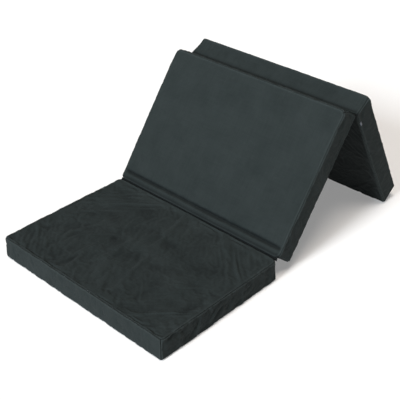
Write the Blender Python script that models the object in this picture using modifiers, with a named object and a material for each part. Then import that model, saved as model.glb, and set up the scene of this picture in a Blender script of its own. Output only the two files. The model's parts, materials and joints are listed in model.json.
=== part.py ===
"""Tri-fold foam guest mattress, set up as a floor lounger.

Three equal foam sections in zipped cloth covers are joined by two cloth hinges. The first hinge runs along
the top edges of the seat and the backrest, the second along the bottom edges of the backrest and the
support. Opened out, the three lie end to end as one mattress. Here the seat lies flat, the backrest leans
back, and the support drops behind it to the floor like the back leg of an easel.

+X is across the mattress, +Y from the seat's free edge towards the support, +Z up. The origin is on the
floor under the middle of the object.
"""

import math

import bmesh
import bpy
from mathutils import Matrix, Vector

# ---- Driving dimensions, in metres, and the one angle that sets the rest pose

MATTRESS_LENGTH = 1.900
MATTRESS_WIDTH = 0.900
THICKNESS = 0.095
HINGE_GAP = 0.004
HINGE_LIFT = 0.0006
BACKREST_TILT = math.radians(54.0)

CLOTH = 0.0012
GAP = 0.0003
FOAM_EDGE_RADIUS = 0.012
FOAM_TO_SLIDER = 0.001
THREAD_RADIUS = 0.0005
SEAM_INSET = 0.0035
THREAD_BEND = 0.0008
THREAD_FROM_ZIP_WALL = 0.0015

ZIP_RECESS = 0.0054
ZIP_OPENING = 0.012
ZIP_END_MARGIN = 0.040
TAPE_WIDTH = 0.0137
TAPE_THICKNESS = 0.0006
COIL_RADIUS = 0.0012
COIL_SLOT = 0.0016
STOP_LENGTH = 0.0035
WELD_DISTANCE = 0.00001

SLIDER_LENGTH = 0.0110
SLIDER_WIDTH = 0.0086
SLIDER_PLATE = 0.0009
SLIDER_TAPER = 0.0009
SLIDER_CORNER = 0.0015
SLIDER_NECK = 0.0010
NECK_LENGTH = 0.004
NECK_FROM_END = 0.003
RAIL_THICKNESS = 0.0006
RAIL_SHORTER_BY = 0.004
LUG_THICKNESS = 0.0010
LUG_LENGTH = 0.0026
LUG_PAST_PIN = 0.0007
PIN_RADIUS = 0.0005
KNUCKLE_RADIUS = 0.0013
KNUCKLE_WIDTH = 0.0024
PULL_LENGTH = 0.026
PULL_WIDTH = 0.0060
PULL_THICKNESS = 0.0010
PULL_CORNER = 0.0012
PULL_SHOULDER = 0.0026
PULL_ARM_LENGTH = 0.0035
PULL_ARM_CENTRE = 0.00215
GRIP_HOLE_RADIUS = 0.0012
GRIP_HOLE_FROM_END = 0.0035

HINGE_WEB = 0.018
HINGE_STRIP_INSET = 0.006
LABEL_WIDTH = 0.012
LABEL_LENGTH = 0.018
LABEL_THICKNESS = 0.0005
LABEL_FROM_HINGE = 0.055

# ---- Sizes that follow from them

SECTION_LENGTH = (MATTRESS_LENGTH - 2 * HINGE_GAP) / 3
HALF_WIDTH = MATTRESS_WIDTH / 2
SKIN = CLOTH + GAP
MID_HEIGHT = THICKNESS / 2

# Distances out from the middle plane to each layer of the zip, on the left side of a section.
ZIP_WALL = HALF_WIDTH - ZIP_RECESS
TAPE_OUTER = ZIP_WALL - CLOTH - GAP
TAPE_INNER = TAPE_OUTER - TAPE_THICKNESS
COIL_CENTRE = TAPE_OUTER + GAP + COIL_RADIUS
OUTER_PLATE = COIL_CENTRE + COIL_RADIUS + GAP
PIN_CENTRE = OUTER_PLATE + SLIDER_PLATE + GAP + KNUCKLE_RADIUS
INNER_PLATE = TAPE_INNER - GAP
FOAM_LEFT = INNER_PLATE - SLIDER_PLATE - FOAM_TO_SLIDER
SLIDER_PARK = ZIP_END_MARGIN + STOP_LENGTH + GAP + SLIDER_LENGTH / 2

# Each section: its name, the names of its two end borders, and whether its zip closes at the far end.
SECTIONS = (
    ("seat", "front_border", "rear_border", False),
    ("backrest", "lower_border", "upper_border", False),
    ("support", "upper_border", "lower_border", True),
)


# ---- Scene, collections and materials


def clear_scene():
    for obj in list(bpy.data.objects):
        bpy.data.objects.remove(obj, do_unlink=True)


def new_collection(name):
    collection = bpy.data.collections.new(name)
    bpy.context.scene.collection.children.link(collection)
    return collection


def new_material(name, colour, roughness, metallic=0.0):
    material = bpy.data.materials.new(name)
    material.use_nodes = True
    shader = material.node_tree.nodes["Principled BSDF"]
    shader.inputs["Base Color"].default_value = (*colour, 1.0)
    shader.inputs["Roughness"].default_value = roughness
    shader.inputs["Metallic"].default_value = metallic
    material.diffuse_color = (*colour, 1.0)
    return material


clear_scene()
PARTS = new_collection("futon_mattress")

COVER = new_material("charcoal cover cloth", (0.034, 0.040, 0.042), 0.88)
FOAM = new_material("polyurethane foam", (0.78, 0.72, 0.50), 0.95)
TAPE = new_material("black zip tape", (0.012, 0.012, 0.013), 0.85)
COIL = new_material("black nylon coil", (0.015, 0.015, 0.016), 0.45)
ZIP_METAL = new_material("black nickel zip metal", (0.12, 0.12, 0.13), 0.35, 1.0)
THREAD = new_material("black sewing thread", (0.010, 0.010, 0.011), 0.70)
LABEL = new_material("grey satin label", (0.19, 0.19, 0.23), 0.50)


# ---- Making pieces


def new_piece(name, mesh, parent, material, location=(0, 0, 0), rotation=(0, 0, 0)):
    """One sub-part, placed in its parent's frame."""
    obj = bpy.data.objects.new(name, mesh)
    PARTS.objects.link(obj)
    obj.parent = parent
    obj.location = location
    obj.rotation_euler = rotation
    if not mesh.materials:
        mesh.materials.append(material)
    return obj


def box_mesh(name, size, centre=(0, 0, 0)):
    mesh = bpy.data.meshes.new(name)
    bm = bmesh.new()
    place = Matrix.Translation(centre) @ Matrix.Diagonal((*size, 1.0))
    bmesh.ops.create_cube(bm, size=1.0, matrix=place)
    bm.to_mesh(mesh)
    bm.free()
    return mesh


def block(name, low, high, parent, material, edge_radius=0.0):
    """A rectangular piece between two opposite corners of its parent's frame."""
    size = [b - a for a, b in zip(low, high)]
    centre = [(a + b) / 2 for a, b in zip(low, high)]
    obj = new_piece(name, box_mesh(name, size), parent, material, centre)
    if edge_radius:
        bevel = obj.modifiers.new("rounded edges", "BEVEL")
        bevel.width = edge_radius
        bevel.segments = 3
        bevel.limit_method = "NONE"
    return obj


def rod_mesh(name, radius, length, sides=16):
    """A cylinder along Z, centred on the origin."""
    mesh = bpy.data.meshes.new(name)
    bm = bmesh.new()
    bmesh.ops.create_cone(
        bm, cap_ends=True, segments=sides, radius1=radius, radius2=radius, depth=length
    )
    bm.to_mesh(mesh)
    bm.free()
    return mesh


def rounded_outline(corners, radius, steps=3):
    """The corners of a flat outline, each replaced by an arc of that radius."""
    points = []
    for i, corner in enumerate(corners):
        here = Vector(corner)
        to_last = (Vector(corners[i - 1]) - here).normalized()
        to_next = (Vector(corners[(i + 1) % len(corners)]) - here).normalized()
        half = to_last.angle(to_next) / 2
        centre = here + (to_last + to_next).normalized() * radius / math.sin(half)
        start = (here + to_last * radius / math.tan(half) - centre).normalized()
        end = (here + to_next * radius / math.tan(half) - centre).normalized()
        for step in range(steps + 1):
            points.append(centre + start.slerp(end, step / steps) * radius)
    return points


def curve_object(name, dimensions="3D"):
    curve = bpy.data.curves.new(name, "CURVE")
    curve.dimensions = dimensions
    obj = bpy.data.objects.new(name, curve)
    PARTS.objects.link(obj)
    return obj


def add_run(curve, points, closed):
    """One straight-edged run of a curve."""
    spline = curve.splines.new("POLY")
    spline.points.add(len(points) - 1)
    for target, point in zip(spline.points, points):
        target.co = (*point, 1.0)
    spline.use_cyclic_u = closed


def finished_mesh(obj):
    """The object's shape with its modifiers applied and its caps welded on. The object is removed."""
    bpy.context.view_layer.update()
    graph = bpy.context.evaluated_depsgraph_get()
    mesh = bpy.data.meshes.new_from_object(obj.evaluated_get(graph))
    mesh.transform(obj.matrix_world)
    bm = bmesh.new()
    bm.from_mesh(mesh)
    bmesh.ops.remove_doubles(bm, verts=bm.verts, dist=WELD_DISTANCE)
    bmesh.ops.recalc_face_normals(bm, faces=bm.faces)
    bm.to_mesh(mesh)
    bm.free()
    mesh.name = obj.name
    bpy.data.objects.remove(obj, do_unlink=True)
    return mesh


def plate_mesh(name, corners, radius, thickness):
    """A flat plate in the YZ plane with rounded corners, its thickness along X, centred on the origin."""
    obj = curve_object(name, "2D")
    obj.data.fill_mode = "BOTH"
    obj.data.extrude = thickness / 2
    add_run(obj.data, [(*p, 0.0) for p in rounded_outline(corners, radius)], True)
    mesh = finished_mesh(obj)
    # The outline's first axis turns to +Y, its second to +Z and its thickness to +X.
    mesh.transform(Matrix(((0, 0, 1, 0), (1, 0, 0, 0), (0, 1, 0, 0), (0, 0, 0, 1))))
    return mesh


def moved(mesh, x=0.0, y=0.0, z=0.0):
    mesh.transform(Matrix.Translation((x, y, z)))
    return mesh


def combined(name, base, joined=(), cut=()):
    """One solid from a base mesh, the meshes joined to it and the meshes cut from it."""
    body = bpy.data.objects.new(name, base)
    PARTS.objects.link(body)
    helpers = []
    for operation, meshes in (("UNION", joined), ("DIFFERENCE", cut)):
        for mesh in meshes:
            helper = bpy.data.objects.new(name + "_helper", mesh)
            PARTS.objects.link(helper)
            helpers.append(helper)
            boolean = body.modifiers.new(operation.lower(), "BOOLEAN")
            boolean.operation = operation
            boolean.solver = "EXACT"
            boolean.object = helper
    mesh = finished_mesh(body)
    for helper in helpers:
        bpy.data.objects.remove(helper, do_unlink=True)
    return mesh


def smooth(mesh, angle=35.0):
    mesh.shade_smooth()
    mesh.set_sharp_from_angle(angle=math.radians(angle))
    return mesh


# ---- The zip's slider and pull, which the three sections share


def slider_mesh():
    """Two plates on a neck that runs in the slot between the coils, with side rails and a pinned pair of lugs.

    The origin is on the coils' centre line; -X is outwards, and -Y is the end that the pull hangs from.
    """
    half = SLIDER_LENGTH / 2
    tail = SLIDER_WIDTH / 2 - SLIDER_TAPER
    shoulder = SLIDER_WIDTH / 2
    outline = [(-half, -tail), (half, -shoulder), (half, shoulder), (-half, tail)]
    outer_x = -(OUTER_PLATE - COIL_CENTRE + SLIDER_PLATE / 2)
    inner_x = COIL_CENTRE - INNER_PLATE + SLIDER_PLATE / 2
    outer = moved(plate_mesh("outer", outline, SLIDER_CORNER, SLIDER_PLATE), outer_x)
    inner = moved(plate_mesh("inner", outline, SLIDER_CORNER, SLIDER_PLATE), inner_x)
    neck = box_mesh(
        "neck",
        (inner_x - outer_x, NECK_LENGTH, SLIDER_NECK),
        ((inner_x + outer_x) / 2, half - NECK_FROM_END, 0),
    )
    # The rails stop short of the tape, beside the coils.
    rail_out = outer_x
    rail_in = COIL_RADIUS
    rail_z = COIL_SLOT / 2 + 2 * COIL_RADIUS + 2 * GAP
    rails = [
        box_mesh(
            "rail",
            (rail_in - rail_out, SLIDER_LENGTH - RAIL_SHORTER_BY, RAIL_THICKNESS),
            ((rail_in + rail_out) / 2, 0, side * rail_z),
        )
        for side in (-1, 1)
    ]
    pin_x = COIL_CENTRE - PIN_CENTRE
    lug_top = pin_x - LUG_PAST_PIN
    lug_z = KNUCKLE_WIDTH / 2 + GAP + LUG_THICKNESS / 2
    lugs = [
        box_mesh(
            "lug",
            (outer_x - lug_top, LUG_LENGTH, LUG_THICKNESS),
            ((outer_x + lug_top) / 2, 0, side * lug_z),
        )
        for side in (-1, 1)
    ]
    pin = moved(rod_mesh("pin", PIN_RADIUS, 2 * lug_z), pin_x)
    return smooth(combined("slider", outer, [neck, inner, *rails, *lugs, pin]))


def pull_mesh():
    """A flat tab on a knuckle that turns on the slider's pin. The origin is the pin's centre; the tab hangs to -Y."""
    tab = plate_mesh(
        "tab",
        [
            (-PULL_LENGTH, -PULL_WIDTH / 2),
            (-PULL_SHOULDER, -PULL_WIDTH / 2),
            (-PULL_SHOULDER, PULL_WIDTH / 2),
            (-PULL_LENGTH, PULL_WIDTH / 2),
        ],
        PULL_CORNER,
        PULL_THICKNESS,
    )
    arm = box_mesh("arm", (PULL_THICKNESS, PULL_ARM_LENGTH, KNUCKLE_WIDTH), (0, -PULL_ARM_CENTRE, 0))
    knuckle = rod_mesh("knuckle", KNUCKLE_RADIUS, KNUCKLE_WIDTH)
    pin_hole = rod_mesh("pin_hole", PIN_RADIUS + GAP, 2 * KNUCKLE_WIDTH)
    grip_hole = rod_mesh("grip_hole", GRIP_HOLE_RADIUS, 10 * PULL_THICKNESS)
    grip_hole.transform(Matrix.Rotation(math.pi / 2, 4, "Y"))
    moved(grip_hole, y=GRIP_HOLE_FROM_END - PULL_LENGTH)
    return smooth(combined("pull", tab, [arm, knuckle], [pin_hole, grip_hole]))


# ---- One section of the mattress


def section_frame(name, parent, location, rotation_x):
    """An empty on a section's hinge line."""
    frame = bpy.data.objects.new(name, None)
    frame.empty_display_size = 0.1
    PARTS.objects.link(frame)
    frame.parent = parent
    frame.location = location
    frame.rotation_euler = (rotation_x, 0, 0)
    return frame


def make_section(section, frame, corner, slider, pull):
    """A foam block in its cover. corner is the near bottom edge of the section in its frame's YZ plane."""
    name, near_name, far_name, zip_at_far_end = section
    y0, z0 = corner
    ends = (SKIN, SECTION_LENGTH - SKIN)
    heights = (SKIN, THICKNESS - SKIN)

    def place(x, y, z):
        return (x, y0 + y, z0 + z)

    def piece(part, xs, ys, zs, material, edge_radius=0.0):
        low, high = (place(xs[i], ys[i], zs[i]) for i in (0, 1))
        return block(f"{name}_{part}", low, high, frame, material, edge_radius)

    # The foam stops short of the zip, so that the slider's inner plate runs clear of it.
    foam_sides = (-FOAM_LEFT, HALF_WIDTH - SKIN)
    piece("foam_core", foam_sides, ends, heights, FOAM, FOAM_EDGE_RADIUS)

    # Cover panels and borders
    across = (-HALF_WIDTH, HALF_WIDTH)
    along = (0, SECTION_LENGTH)
    piece("bottom_panel", across, along, (0, CLOTH), COVER)
    piece("top_panel", across, along, (THICKNESS - CLOTH, THICKNESS), COVER)
    piece(near_name, across, (0, CLOTH), heights, COVER)
    piece(far_name, across, (SECTION_LENGTH - CLOTH, SECTION_LENGTH), heights, COVER)
    piece("right_border", (HALF_WIDTH - CLOTH, HALF_WIDTH), ends, heights, COVER)

    # The zip: a cloth strip, a tape and a coil on each side of the opening
    wall = (-ZIP_WALL, -ZIP_WALL + CLOTH)
    tape = (-TAPE_OUTER, -TAPE_INNER)
    half_opening = ZIP_OPENING / 2
    half_slot = COIL_SLOT / 2
    for side, direction, edge in (("lower", -1, heights[0]), ("upper", 1, heights[1])):
        strip = sorted((edge, MID_HEIGHT + direction * half_opening))
        piece(f"{side}_zip_border", wall, ends, strip, COVER)
        band = sorted(MID_HEIGHT + direction * d for d in (half_slot, TAPE_WIDTH))
        piece(f"{side}_zip_tape", tape, ends, band, TAPE)
        coil_z = MID_HEIGHT + direction * (half_slot + COIL_RADIUS)
        make_coil(f"{name}_{side}_zip_coil", frame, place(-COIL_CENTRE, 0, coil_z))
    make_stops(name, frame, place, zip_at_far_end)

    park = SECTION_LENGTH - SLIDER_PARK if zip_at_far_end else SLIDER_PARK
    turn = (math.pi, 0, 0) if zip_at_far_end else (0, 0, 0)
    slider_place = place(-COIL_CENTRE, park, MID_HEIGHT)
    new_piece(f"{name}_zip_slider", slider, frame, ZIP_METAL, slider_place, turn)
    pin_place = place(-PIN_CENTRE, park, MID_HEIGHT)
    new_piece(f"{name}_zip_pull", pull, frame, ZIP_METAL, pin_place, turn)

    make_seam_threads(f"{name}_seam_threads", frame, place)


def make_coil(name, frame, start):
    """One half of the zip's coil, as the plain cord that it fills."""
    obj = curve_object(name)
    ends = (
        ZIP_END_MARGIN + STOP_LENGTH + GAP,
        SECTION_LENGTH - ZIP_END_MARGIN - STOP_LENGTH - GAP,
    )
    x, y, z = start
    add_run(obj.data, [(x, y + end, z) for end in ends], False)
    obj.data.bevel_depth = COIL_RADIUS
    obj.data.bevel_resolution = 2
    obj.data.use_fill_caps = True
    obj.data.materials.append(COIL)
    obj.parent = frame


def make_stops(name, frame, place, zip_at_far_end):
    """A crimp across both tapes at each end of the coils."""
    outer = COIL_CENTRE + COIL_RADIUS
    inner = TAPE_OUTER + GAP
    reach = COIL_SLOT / 2 + 2 * COIL_RADIUS
    near_y = ZIP_END_MARGIN
    far_y = SECTION_LENGTH - ZIP_END_MARGIN - STOP_LENGTH
    top_y, bottom_y = (far_y, near_y) if zip_at_far_end else (near_y, far_y)
    for stop, y in (("top", top_y), ("bottom", bottom_y)):
        low = place(-outer, y, MID_HEIGHT - reach)
        high = place(-inner, y + STOP_LENGTH, MID_HEIGHT + reach)
        block(f"{name}_zip_{stop}_stop", low, high, frame, ZIP_METAL)


def thread_run(name, points, closed, radius):
    """A mesh of one straight-edged run of sewing thread."""
    obj = curve_object(name)
    add_run(obj.data, points, closed)
    obj.data.bevel_depth = radius
    obj.data.bevel_resolution = 2
    obj.data.use_fill_caps = True
    return finished_mesh(obj)


def make_seam_threads(name, frame, place):
    """The thread of the seams round both panels and up the four corners, in the space beside the foam's edges."""
    left = -ZIP_WALL + SKIN + THREAD_FROM_ZIP_WALL
    right = HALF_WIDTH - SEAM_INSET
    near, far = SEAM_INSET, SECTION_LENGTH - SEAM_INSET
    corners = ((left, near), (right, near), (right, far), (left, far))
    low, high = SEAM_INSET, THICKNESS - SEAM_INSET
    loops = []
    for height in (low, high):
        outline = rounded_outline(corners, THREAD_BEND, 2)
        loop = [place(x, y, height) for x, y in outline]
        loops.append(thread_run("loop", loop, True, THREAD_RADIUS))
    # The uprights are a little thicker than the loops and run just past them, where they join.
    uprights = []
    past = THREAD_RADIUS / 3
    for x in (left, right):
        for y in (near + 1.5 * THREAD_BEND, far - 1.5 * THREAD_BEND):
            line = [place(x, y, low - past), place(x, y, high + past)]
            uprights.append(thread_run("upright", line, False, 1.3 * THREAD_RADIUS))
    mesh = combined(name, loops[0], [*uprights, loops[1]])
    new_piece(name, smooth(mesh), frame, THREAD)


# ---- Cloth hinges


def make_hinge_strip(name, frame, side, turn):
    """The cloth that joins two sections, in the frame of the second one, whose origin is the hinge line.

    side is -1 where the blocks hang below the hinge line and 1 where they stand above it. turn is the
    angle of the second section from the first. A leg lies along each end face, and a short bridge joins
    the legs across the hinge line.
    """
    from_axis = HINGE_GAP / 2 - GAP - CLOTH / 2
    second = [(from_axis, side * HINGE_WEB), (from_axis, side * HINGE_LIFT)]
    back = Matrix.Rotation(-turn, 2)
    first = [back @ Vector((-y, z)) for y, z in reversed(second)]
    profile = [*second, *first]
    reach = HALF_WIDTH - HINGE_STRIP_INSET
    mesh = bpy.data.meshes.new(name)
    bm = bmesh.new()
    rows = [[bm.verts.new((x, y, z)) for y, z in profile] for x in (-reach, reach)]
    for i in range(len(profile) - 1):
        bm.faces.new((rows[0][i], rows[0][i + 1], rows[1][i + 1], rows[1][i]))
    bm.to_mesh(mesh)
    bm.free()
    obj = new_piece(name, mesh, frame, COVER)
    solidify = obj.modifiers.new("cloth thickness", "SOLIDIFY")
    solidify.thickness = CLOTH
    solidify.offset = 0.0
    solidify.use_even_offset = True
    return obj


# ---- The whole mattress


def rest_pose():
    """Where the hinge lines lie, with the seat's front edge at y = 0, and the support's slope.

    The support turns down from its hinge until its lower inner edge touches the floor.
    """
    lean = BACKREST_TILT
    pitch = SECTION_LENGTH + HINGE_GAP
    drop = THICKNESS + 2 * HINGE_LIFT
    first = Vector((SECTION_LENGTH + HINGE_GAP / 2, THICKNESS + HINGE_LIFT))
    second = first + Vector(
        (
            pitch * math.cos(lean) + drop * math.sin(lean),
            pitch * math.sin(lean) - drop * math.cos(lean),
        )
    )
    reach = SECTION_LENGTH + HINGE_GAP / 2
    slope = math.asin(second.y / math.hypot(reach, HINGE_LIFT)) + math.atan2(HINGE_LIFT, reach)
    top = HINGE_LIFT + THICKNESS
    length = second.x + reach * math.cos(slope) + top * math.sin(slope)
    return first, second, slope, length


def main():
    first, second, slope, length = rest_pose()
    seat_frame = section_frame("seat_frame", None, (0, -length / 2, 0), 0.0)
    backrest_frame = section_frame("backrest_hinge", seat_frame, (0, *first), BACKREST_TILT)
    support_frame = section_frame(
        "support_hinge",
        backrest_frame,
        (0, SECTION_LENGTH + HINGE_GAP, -(THICKNESS + 2 * HINGE_LIFT)),
        -(BACKREST_TILT + slope),
    )
    slider = slider_mesh()
    pull = pull_mesh()
    frames = (seat_frame, backrest_frame, support_frame)
    corners = (
        (0.0, 0.0),
        (HINGE_GAP / 2, -(THICKNESS + HINGE_LIFT)),
        (HINGE_GAP / 2, HINGE_LIFT),
    )
    for section, frame, corner in zip(SECTIONS, frames, corners):
        make_section(section, frame, corner, slider, pull)
    make_hinge_strip("seat_backrest_hinge_strip", backrest_frame, -1, BACKREST_TILT)
    make_hinge_strip("backrest_support_hinge_strip", support_frame, 1, -(BACKREST_TILT + slope))

    # A blank folded label, sewn into the support's lower right seam near its hinge.
    label_y = HINGE_GAP / 2 + LABEL_FROM_HINGE
    label_z = HINGE_LIFT + SKIN
    block(
        "care_label",
        (HALF_WIDTH + GAP, label_y, label_z),
        (HALF_WIDTH + GAP + LABEL_THICKNESS, label_y + LABEL_LENGTH, label_z + LABEL_WIDTH),
        support_frame,
        LABEL,
    )
    bpy.context.view_layer.update()
    for frame in frames:
        print(frame.name, [round(c, 6) for c in frame.matrix_world.translation])
    print("support slope", round(math.degrees(slope), 4), "length", round(length, 5))


main()
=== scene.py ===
# %% [markdown]
# # A folding guest mattress in its sewn cover
#
# The object is a guest mattress of three foam blocks, each in a zipped box cover of dark canvas. The
# blocks are joined edge to edge by cloth hinges, so the mattress folds like a Z. Here it stands as a low
# chair: one block is the seat, the next leans back, and the last one props it up from behind.
#
# The hard facts (sizes, hinges, zips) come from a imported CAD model, which this script loads as a fixed
# frame. Everything you see is then built round that frame: cloth with real folds, seams, zips and finishes.

import json
import math

import bmesh
import bpy
import numpy as np
from mathutils import Matrix, Vector


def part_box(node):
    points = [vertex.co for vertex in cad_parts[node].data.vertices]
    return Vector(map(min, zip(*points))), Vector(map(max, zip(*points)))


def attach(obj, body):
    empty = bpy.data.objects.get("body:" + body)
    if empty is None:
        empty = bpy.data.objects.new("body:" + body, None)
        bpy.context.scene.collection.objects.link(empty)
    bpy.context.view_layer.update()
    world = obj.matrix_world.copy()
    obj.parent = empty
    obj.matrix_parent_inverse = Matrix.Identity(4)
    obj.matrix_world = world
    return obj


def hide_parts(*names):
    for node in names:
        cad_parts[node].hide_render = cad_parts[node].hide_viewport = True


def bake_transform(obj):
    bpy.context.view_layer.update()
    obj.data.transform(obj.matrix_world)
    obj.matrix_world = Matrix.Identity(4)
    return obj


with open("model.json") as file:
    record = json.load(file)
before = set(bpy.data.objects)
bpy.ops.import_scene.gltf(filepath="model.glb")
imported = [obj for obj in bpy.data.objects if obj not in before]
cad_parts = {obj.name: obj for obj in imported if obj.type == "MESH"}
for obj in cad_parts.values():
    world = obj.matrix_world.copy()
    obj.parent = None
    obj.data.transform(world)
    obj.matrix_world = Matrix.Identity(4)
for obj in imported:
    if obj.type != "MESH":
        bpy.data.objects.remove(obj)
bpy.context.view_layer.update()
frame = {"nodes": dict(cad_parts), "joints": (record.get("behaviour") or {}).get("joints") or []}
MM = 0.001

# %% [markdown]
# ## Where each block lies
#
# A sewn cover is easiest to think about flat on a table, so every block is modelled in its own
# coordinates: x across the mattress, u along it and v up through its thickness. One matrix for each block
# then carries the finished points to where the block really is. The matrices follow from the hinge lines
# and from how far each hinge may turn: the first hinge can turn back by exactly the tilt of the backrest.

# %% Size of a block, and the matrix that places each one
joints = {joint["name"]: joint for joint in frame["joints"]}
seat_low, seat_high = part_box("seat_top_panel")
HALF_WIDTH = seat_high.x
THICKNESS = seat_high.z
LENGTH = seat_high.y - seat_low.y
hinges = [Vector(joints[name]["pos_m"]) for name in ("fold_backrest", "fold_support")]
HINGE_LIFT = hinges[0].z - THICKNESS
HALF_GAP = hinges[0].y - seat_high.y
tilt = -math.radians(joints["fold_backrest"]["range_deg"][0])
slope = math.radians(joints["fold_support"]["range_deg"][1]) - tilt

PLACES = {
    "seat": Matrix.Translation((0, seat_low.y, 0)),
    "backrest": Matrix.Translation(hinges[0])
    @ Matrix.Rotation(tilt, 4, "X")
    @ Matrix.Translation((0, HALF_GAP, -THICKNESS - HINGE_LIFT)),
    "support": Matrix.Translation(hinges[1])
    @ Matrix.Rotation(-slope, 4, "X")
    @ Matrix.Translation((0, HALF_GAP, HINGE_LIFT)),
}
print(f"block: {2 * HALF_WIDTH:.3f} x {LENGTH:.4f} x {THICKNESS:.3f} m, tilt {math.degrees(tilt):.1f} deg")

# %% [markdown]
# ## Camera
#
# The camera stands in front and to the right, looking down by about a third of a right angle, so that the
# seat's front, top and right side all show. A longish lens keeps the edges of the blocks nearly parallel.
# The direction is given as a turn from the mattress's own length and an angle down.

# %% Set up the camera
scene = bpy.context.scene
CAMERA_TURN = math.radians(43.29)
CAMERA_DOWN = math.radians(32.59)
CAMERA_PLACE = (2.0433, -2.2340, 2.0598)

camera = bpy.data.objects.new("camera", bpy.data.cameras.new("camera"))
scene.collection.objects.link(camera)
scene.camera = camera
camera.data.sensor_width = 36
camera.data.lens = 76.7
camera.location = CAMERA_PLACE
camera.rotation_euler = (math.pi / 2 - CAMERA_DOWN, 0, CAMERA_TURN)
print("camera lens", camera.data.lens, "mm")

# %% [markdown]
# ## Colours and nodes
#
# Colours are picked as sRGB hex values, the way a colour picker shows them. Blender's shaders want linear
# light, so one function turns a hex value into linear numbers. Another adds a shader node with its
# settings and feeds its sockets, with plain values or with another node's output. Two short forms of it
# cover the commonest nodes, and two more functions start a material: a plain one, and one whose colour
# wanders a little, as every real colour does.

# %% Helpers for materials
def linear(hex_colour):
    """An sRGB hex colour as linear red, green, blue and alpha."""
    parts = [int(hex_colour[i:i + 2], 16) / 255 for i in (1, 3, 5)]
    return (*[c / 12.92 if c <= 0.04045 else ((c + 0.055) / 1.055) ** 2.4 for c in parts], 1.0)


def add_node(tree, kind, feeds, **settings):
    """Adds a node. feeds names its sockets, each with a value or with the output that feeds it."""
    node = tree.nodes.new(kind)
    for name, value in settings.items():
        setattr(node, name, value)
    for socket, value in feeds.items():
        if isinstance(value, bpy.types.NodeSocket):
            tree.links.new(value, node.inputs[socket])
        else:
            node.inputs[socket].default_value = value
    return node


def maths(tree, operation, *values):
    """The output of a sum of values, each a plain number or an output."""
    return add_node(tree, "ShaderNodeMath", dict(enumerate(values)), operation=operation).outputs[0]


def mixed(tree, factor, first, second):
    """The output of a colour between two: the first where the factor is 0, the second where it is 1."""
    mix = add_node(tree, "ShaderNodeMix", {"Factor": factor, "A": first, "B": second}, data_type="RGBA")
    return mix.outputs["Result"]


def new_finish(name, **plain):
    """A material with its node tree and its Principled shader, on which plain values are set directly."""
    material = bpy.data.materials.new(name)
    material.use_nodes = True
    tree = material.node_tree
    shader = tree.nodes["Principled BSDF"]
    for socket, value in plain.items():
        shader.inputs[socket.replace("_", " ")].default_value = value
    return material, tree, shader


def mottled_finish(name, scale, first, second, detail=2.0, **plain):
    """A finish whose colour wanders between two tones, with its tree, shader, coordinates and noise."""
    material, tree, shader = new_finish(name, **plain)
    spot = add_node(tree, "ShaderNodeTexCoord", {}).outputs["Object"]
    noise = add_node(tree, "ShaderNodeTexNoise", {"Vector": spot, "Scale": scale, "Detail": detail})
    colour = mixed(tree, noise.outputs["Fac"], linear(first), linear(second))
    tree.links.new(colour, shader.inputs["Base Color"])
    return material, tree, shader, spot, noise


print("mid charcoal in linear light:", [round(c, 4) for c in linear("#3c4242")[:3]])

# %% [markdown]
# ## Floor and light
#
# The mattress stands on a plain pale floor that two soft lights wash out. A sun lamp with a wide angle
# gives such light: it is as even as a row of studio windows and needs no aiming. The stronger one
# comes from low in front, slightly cool. It makes the leaning backrest and the front border the brightest
# faces. The other comes from nearly overhead, slightly warm. It fills the tops, leaves the right-hand
# sides darker, and the space under the backrest dark. The floor is a light table that glows a little
# itself, as photographers use for products, so the shadows on it stay pale. The sky gives almost no light,
# and only its lowest band is white, so that the floor ends without a line.

# %% Floor, surroundings and two soft lights
FLOOR_SIDE = 120.0
WORLD_STRENGTH = 0.02
HORIZON_STRENGTH = 1.0
HORIZON_BAND = (0.06, 0.16)  # where the bright horizon fades, as the height of the view's direction
FLOOR_GLOW = 0.26
LIGHTS = {  # turn from straight in front, height above the floor, softness, strength and colour
    "front_light": (0, 29, 14, 3.5, "#eef7ff"),
    "overhead_light": (24, 76, 26, 2.25, "#fff5ec"),
}

bpy.ops.mesh.primitive_plane_add(size=FLOOR_SIDE)
floor = bpy.context.object
floor.name = "floor"
floor_paint, tree, shader = new_finish(
    "pale_matt_floor", Roughness=0.9, Specular_IOR_Level=0.1, Emission_Strength=FLOOR_GLOW,
    Emission_Color=linear("#ffffff"))
speckle = add_node(tree, "ShaderNodeTexNoise", {"Scale": 0.6, "Detail": 1.0})
floor_colour = mixed(tree, speckle.outputs["Fac"], linear("#d6d6d5"), linear("#dadada"))
tree.links.new(floor_colour, shader.inputs["Base Color"])
floor.data.materials.append(floor_paint)

scene.world = bpy.data.worlds.new("pale_surroundings")
scene.world.use_nodes = True
tree = scene.world.node_tree
heading = add_node(tree, "ShaderNodeTexCoord", {}).outputs["Generated"]
upward = add_node(tree, "ShaderNodeSeparateXYZ", {0: heading}).outputs["Z"]
glow = add_node(tree, "ShaderNodeMapRange", {
    "Value": upward, "From Min": HORIZON_BAND[0], "From Max": HORIZON_BAND[1],
    "To Min": HORIZON_STRENGTH, "To Max": WORLD_STRENGTH})
background = tree.nodes["Background"]
background.inputs["Color"].default_value = linear("#ffffff")
tree.links.new(glow.outputs["Result"], background.inputs["Strength"])

for name, (turn, height, softness, strength, colour) in LIGHTS.items():
    light = bpy.data.objects.new(name, bpy.data.lights.new(name, "SUN"))
    scene.collection.objects.link(light)
    light.data.energy = strength
    light.data.angle = math.radians(softness)
    light.data.color = linear(colour)[:3]
    light.location = (0, -3, 3)  # out of the way: a sun lamp shines the same from anywhere
    light.rotation_euler = (math.radians(90 - height), 0, math.radians(turn))
    print(name, "strength", strength, "from", height, "degrees above the floor")
scene.view_settings.view_transform = "Standard"

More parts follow.
